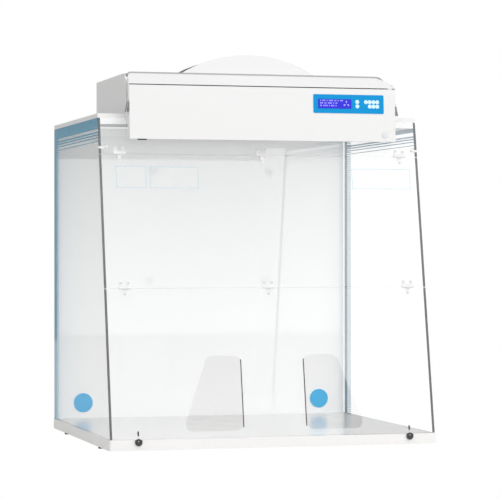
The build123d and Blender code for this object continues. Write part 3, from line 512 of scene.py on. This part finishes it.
clip_screws = new_piece("clip_screws", bm, white_plastic, "cabinet")
print("hinge screws:", len(SEAMS) * len(HINGE_XS) * 3, "and clip screws: 2")

# %% [markdown]
# ## The ground, the light and the camera
# The photo is a cut-out on white. The ground is white to the camera and an ordinary pale
# surface to every other ray, so it still throws soft light up under the hood. The world's
# light depends on the direction it comes from: it is strongest from the front, and a little
# stronger from the right and from above than from the left and from below.

# %% Ground and world
bm = bmesh.new()
bmesh.ops.create_grid(bm, x_segments=1, y_segments=1, size=9.0)
mesh = bpy.data.meshes.new("ground")
bm.to_mesh(mesh)
bm.free()
ground = bpy.data.objects.new("ground", mesh)
bpy.context.collection.objects.link(ground)
g = Graph("ground")
rays = g.add("ShaderNodeLightPath")
matt = g.add("ShaderNodeBsdfDiffuse")
matt.inputs["Color"].default_value = (0.8, 0.79, 0.775, 1.0)
plain = g.add("ShaderNodeEmission")
plain.inputs["Color"].default_value = (1.0, 1.0, 1.0, 1.0)
choice = g.add("ShaderNodeMixShader")
g.wire(rays.outputs["Is Camera Ray"], choice.inputs[0])
g.wire(matt.outputs[0], choice.inputs[1])
g.wire(plain.outputs[0], choice.inputs[2])
g.wire(choice.outputs[0], g.output.inputs["Surface"])
mesh.materials.append(g.material)

world = bpy.data.worlds.new("studio")
bpy.context.scene.world = world
world.use_nodes = True
tree = world.node_tree
tree.nodes.clear()
output = tree.nodes.new("ShaderNodeOutputWorld")
background = tree.nodes.new("ShaderNodeBackground")
coordinates = tree.nodes.new("ShaderNodeTexCoord")
tree.links.new(background.outputs[0], output.inputs[0])


def world_math(operation, a, b):
    node = tree.nodes.new("ShaderNodeMath")
    node.operation = operation
    for value, socket in ((a, node.inputs[0]), (b, node.inputs[1])):
        if isinstance(value, bpy.types.NodeSocket):
            tree.links.new(value, socket)
        else:
            socket.default_value = value
    return node.outputs[0]


FROM_RIGHT, FROM_BACK, FROM_ABOVE, ALL_ROUND = 0.22, -0.40, 0.18, 0.75
split = tree.nodes.new("ShaderNodeSeparateXYZ")
tree.links.new(coordinates.outputs["Generated"], split.inputs[0])
light = world_math("MULTIPLY", split.outputs[2], FROM_ABOVE)
light = world_math("ADD", light, world_math("MULTIPLY", split.outputs[0], FROM_RIGHT))
light = world_math("ADD", light, world_math("MULTIPLY", split.outputs[1], FROM_BACK))
light = world_math("ADD", light, ALL_ROUND)
rays = tree.nodes.new("ShaderNodeLightPath")
seen = rays.outputs["Is Camera Ray"]
light = world_math("ADD", world_math("MULTIPLY", light, world_math("SUBTRACT", 1.0, seen)), seen)
tree.links.new(light, background.inputs["Strength"])
background.inputs["Color"].default_value = (1.0, 1.0, 1.0, 1.0)
print("ground and world ready")

# %% Lamps
def area_light(name, place, target, size, power):
    data = bpy.data.lights.new(name, "AREA")
    data.shape = "DISK"
    data.size = size
    data.energy = power
    lamp_object = bpy.data.objects.new(name, data)
    lamp_object.location = place
    lamp_object.rotation_euler = (Vector(target) - Vector(place)).to_track_quat("-Z", "Y").to_euler()
    bpy.context.collection.objects.link(lamp_object)


area_light("key light", (1.0, -3.0, 5.2), (0, 0, 0.9), 2.4, 40.0)

# %% [markdown]
# The camera is the one that matches the photo: a long lens, held level at about half the
# hood's height, turned a little to the right.

# %% Camera
camera_data = bpy.data.cameras.new("camera")
camera_data.sensor_width = 36.0
camera_data.sensor_fit = "HORIZONTAL"
camera_data.lens = 159.6
camera_data.shift_y = 0.0012
camera_data.clip_end = 100.0
camera = bpy.data.objects.new("camera", camera_data)
camera.location = (-2.195, -8.0314, 0.7054)
camera.rotation_euler = (radians(90.0), radians(0.03), radians(-15.62))
bpy.context.collection.objects.link(camera)
scene = bpy.context.scene
scene.camera = camera
scene.view_settings.view_transform = "Standard"
scene.render.resolution_x = 500
scene.render.resolution_y = 498
scene.render.engine = "CYCLES"
scene.cycles.transparent_max_bounces = 24
scene.cycles.max_bounces = 14
